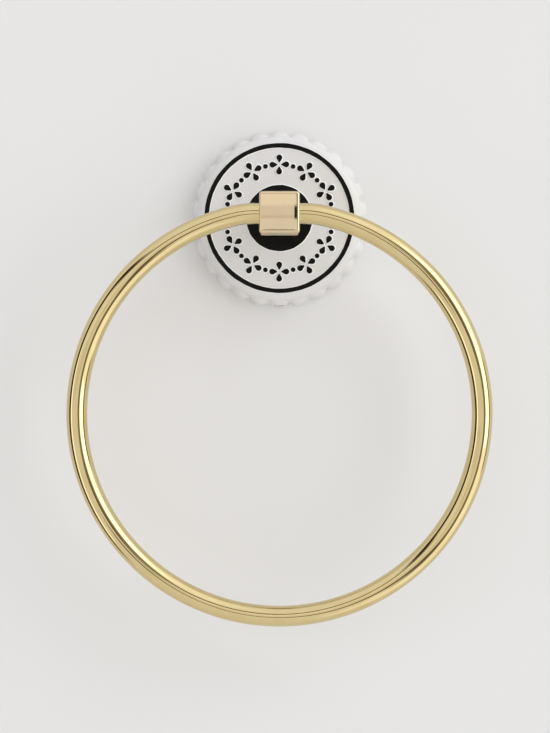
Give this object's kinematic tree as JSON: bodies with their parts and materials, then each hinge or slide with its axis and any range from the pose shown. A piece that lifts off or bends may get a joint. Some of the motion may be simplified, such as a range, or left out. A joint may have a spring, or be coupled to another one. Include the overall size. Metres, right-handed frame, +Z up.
{
  "type": "towel ring",
  "caption": "Wall towel ring: a round brass ring hangs loose in a brass block on a scalloped white ceramic rosette with raised black ornament.",
  "frame": {"origin": "centre of the rosette's back, on the wall face", "axes": "+Z up, +Y square into the wall, +X to the right along the ring's bar at the block; the object stands off the wall towards -Y"},
  "size_m": [0.1532, 0.0415, 0.1817],
  "materials": {
    "white_glaze": "glossy white glaze, black glaze on the raised work",
    "satin_brass": "finely brushed",
    "polished_brass": "polished",
    "turned_brass": "as turned",
    "soft_washer": "matte",
    "zinc_plated_steel": "zinc plated",
    "cast_zinc": "as cast"
  },
  "bodies": {
    "wall_part": {"rosette": "white_glaze", "ring_block": "satin_brass", "neck_washer": "soft_washer", "back_washer": "soft_washer", "seat_cup": "turned_brass", "lock_washer": "zinc_plated_steel", "clamp_screw": "zinc_plated_steel", "wall_bracket": "cast_zinc", "set_screw": "zinc_plated_steel"},
    "ring": {"towel_ring": "polished_brass"}
  },
  "joints": [
    {"name": "ring_swing", "type": "hinge", "parent": "wall_part", "child": "ring", "pos_m": [0, -0.0335, 0], "axis": [-1, 0, 0], "range_deg": [-11, 191]}
  ]
}
